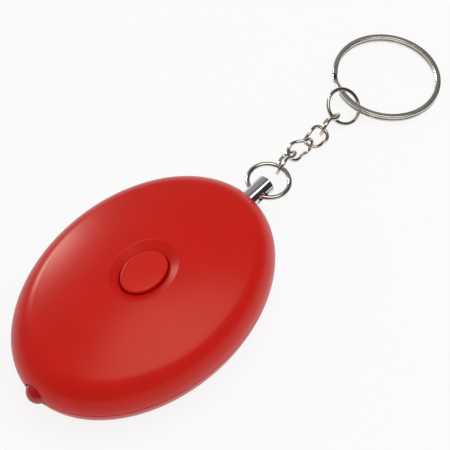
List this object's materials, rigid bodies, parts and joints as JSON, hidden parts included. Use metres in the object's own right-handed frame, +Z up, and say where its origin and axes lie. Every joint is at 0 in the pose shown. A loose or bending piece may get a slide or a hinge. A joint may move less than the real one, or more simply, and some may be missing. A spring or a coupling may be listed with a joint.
{
  "type": "personal safety alarm",
  "caption": "Oval pocket alarm with a press button and lamp, set off by pulling a pin on a chain with a split ring.",
  "frame": {"origin": "middle of the flat rest face under the housing", "axes": "+X along the housing from the lamp end to the pin end and on along the chain, +Z up"},
  "size_m": [0.1261, 0.044, 0.0197],
  "materials": {
    "red_plastic": "satin moulded",
    "lamp_red": "clear tinted",
    "bright_metal": "polished",
    "nickel": "nickel plated",
    "board_green": "solder mask",
    "zinc_steel": "zinc plated",
    "black_plastic": "moulded",
    "white_plastic": "moulded",
    "ferrite": "sintered",
    "copper": "lacquered wire",
    "brass_plate": "rolled",
    "piezo": "silvered",
    "wire_red": "insulated wire",
    "cell_steel": "plain",
    "resistor_body": "coated"
  },
  "bodies": {
    "housing": {"top_cover": "red_plastic", "bottom_cover": "red_plastic", "switch_body": "black_plastic", "circuit_board": "board_green", "board_screws": "zinc_steel", "driver_chip": "black_plastic", "driver_transistor": "black_plastic", "boost_coil_core": "ferrite", "boost_coil_winding": "copper", "board_resistors": "resistor_body", "lamp_lens": "lamp_red", "lamp_leads": "zinc_steel", "sounder_plate": "brass_plate", "sounder_ceramic": "piezo", "sounder_leads": "wire_red", "button_cell_1": "cell_steel", "button_cell_2": "cell_steel", "button_cell_3": "cell_steel", "cell_holder": "black_plastic", "cell_plus_strip": "cell_steel", "cell_minus_strip": "cell_steel", "pin_socket": "black_plastic", "contact_block": "black_plastic", "contact_leaf_upper": "brass_plate", "contact_leaf_lower": "brass_plate", "case_screws": "zinc_steel"},
    "button": {"light_button": "red_plastic"},
    "switch_plunger": {"switch_plunger": "white_plastic"},
    "pin": {"pull_pin": "bright_metal"},
    "pin_ring": {"pin_ring": "nickel"},
    "chain_link_1": {"chain_link_1": "nickel"},
    "chain_link_2": {"chain_link_2": "nickel"},
    "chain_link_3": {"chain_link_3": "nickel"},
    "chain_link_4": {"chain_link_4": "nickel"},
    "small_ring": {"small_ring": "nickel"},
    "split_ring": {"split_ring": "nickel"}
  },
  "joints": [
    {"name": "light_button_press", "type": "slide", "parent": "housing", "child": "button", "axis": [0, 0, -1], "range_m": [0, 0.0005], "stiffness_N_per_m": 200, "springref_m": -0.002},
    {"name": "switch_press", "type": "slide", "parent": "housing", "child": "switch_plunger", "axis": [0, 0, -1], "range_m": [0, 0.0005]},
    {"name": "pin_pull", "type": "slide", "parent": "housing", "child": "pin", "axis": [1, 0, 0], "range_m": [0, 0.015]},
    {"name": "pin_ring_swing", "type": "hinge", "parent": "pin", "child": "pin_ring", "pos_m": [0.0333, 0, 0.00985], "axis": [0, 1, 0], "range_deg": [-60, 60]},
    {"name": "chain_link_1_swing", "type": "hinge", "parent": "pin_ring", "child": "chain_link_1", "pos_m": [0.04228, 0.00079, 0.00906], "axis": [0.0872, -0.9962, 0], "range_deg": [-30, 30]},
    {"name": "chain_link_2_swing", "type": "hinge", "parent": "chain_link_1", "child": "chain_link_2", "pos_m": [0.04763, 0.00264, 0.00743], "axis": [-0.3959, 0.6404, -0.6582], "range_deg": [-30, 30]},
    {"name": "chain_link_3_swing", "type": "hinge", "parent": "chain_link_2", "child": "chain_link_3", "pos_m": [0.05332, 0.00143, 0.00587], "axis": [-0.2842, -0.1262, -0.9504], "range_deg": [-30, 30]},
    {"name": "chain_link_4_swing", "type": "hinge", "parent": "chain_link_3", "child": "chain_link_4", "pos_m": [0.05899, 0.00269, 0.0043], "axis": [-0.0752, 0.9231, 0.3771], "range_deg": [-30, 30]},
    {"name": "small_ring_swing", "type": "hinge", "parent": "chain_link_4", "child": "small_ring", "pos_m": [0.0646, 0.00411, 0.00273], "axis": [-0.3505, 0.5888, -0.7284], "range_deg": [-30, 30]},
    {"name": "split_ring_swing", "type": "hinge", "parent": "small_ring", "child": "split_ring", "pos_m": [0.0696, 0.00462, 0.00294], "axis": [-0.1478, -0.989, 0], "range_deg": [-45, 45]}
  ],
  "couplings": [
    {"joint": "switch_press", "follows": "light_button_press", "ratio": 1}
  ]
}
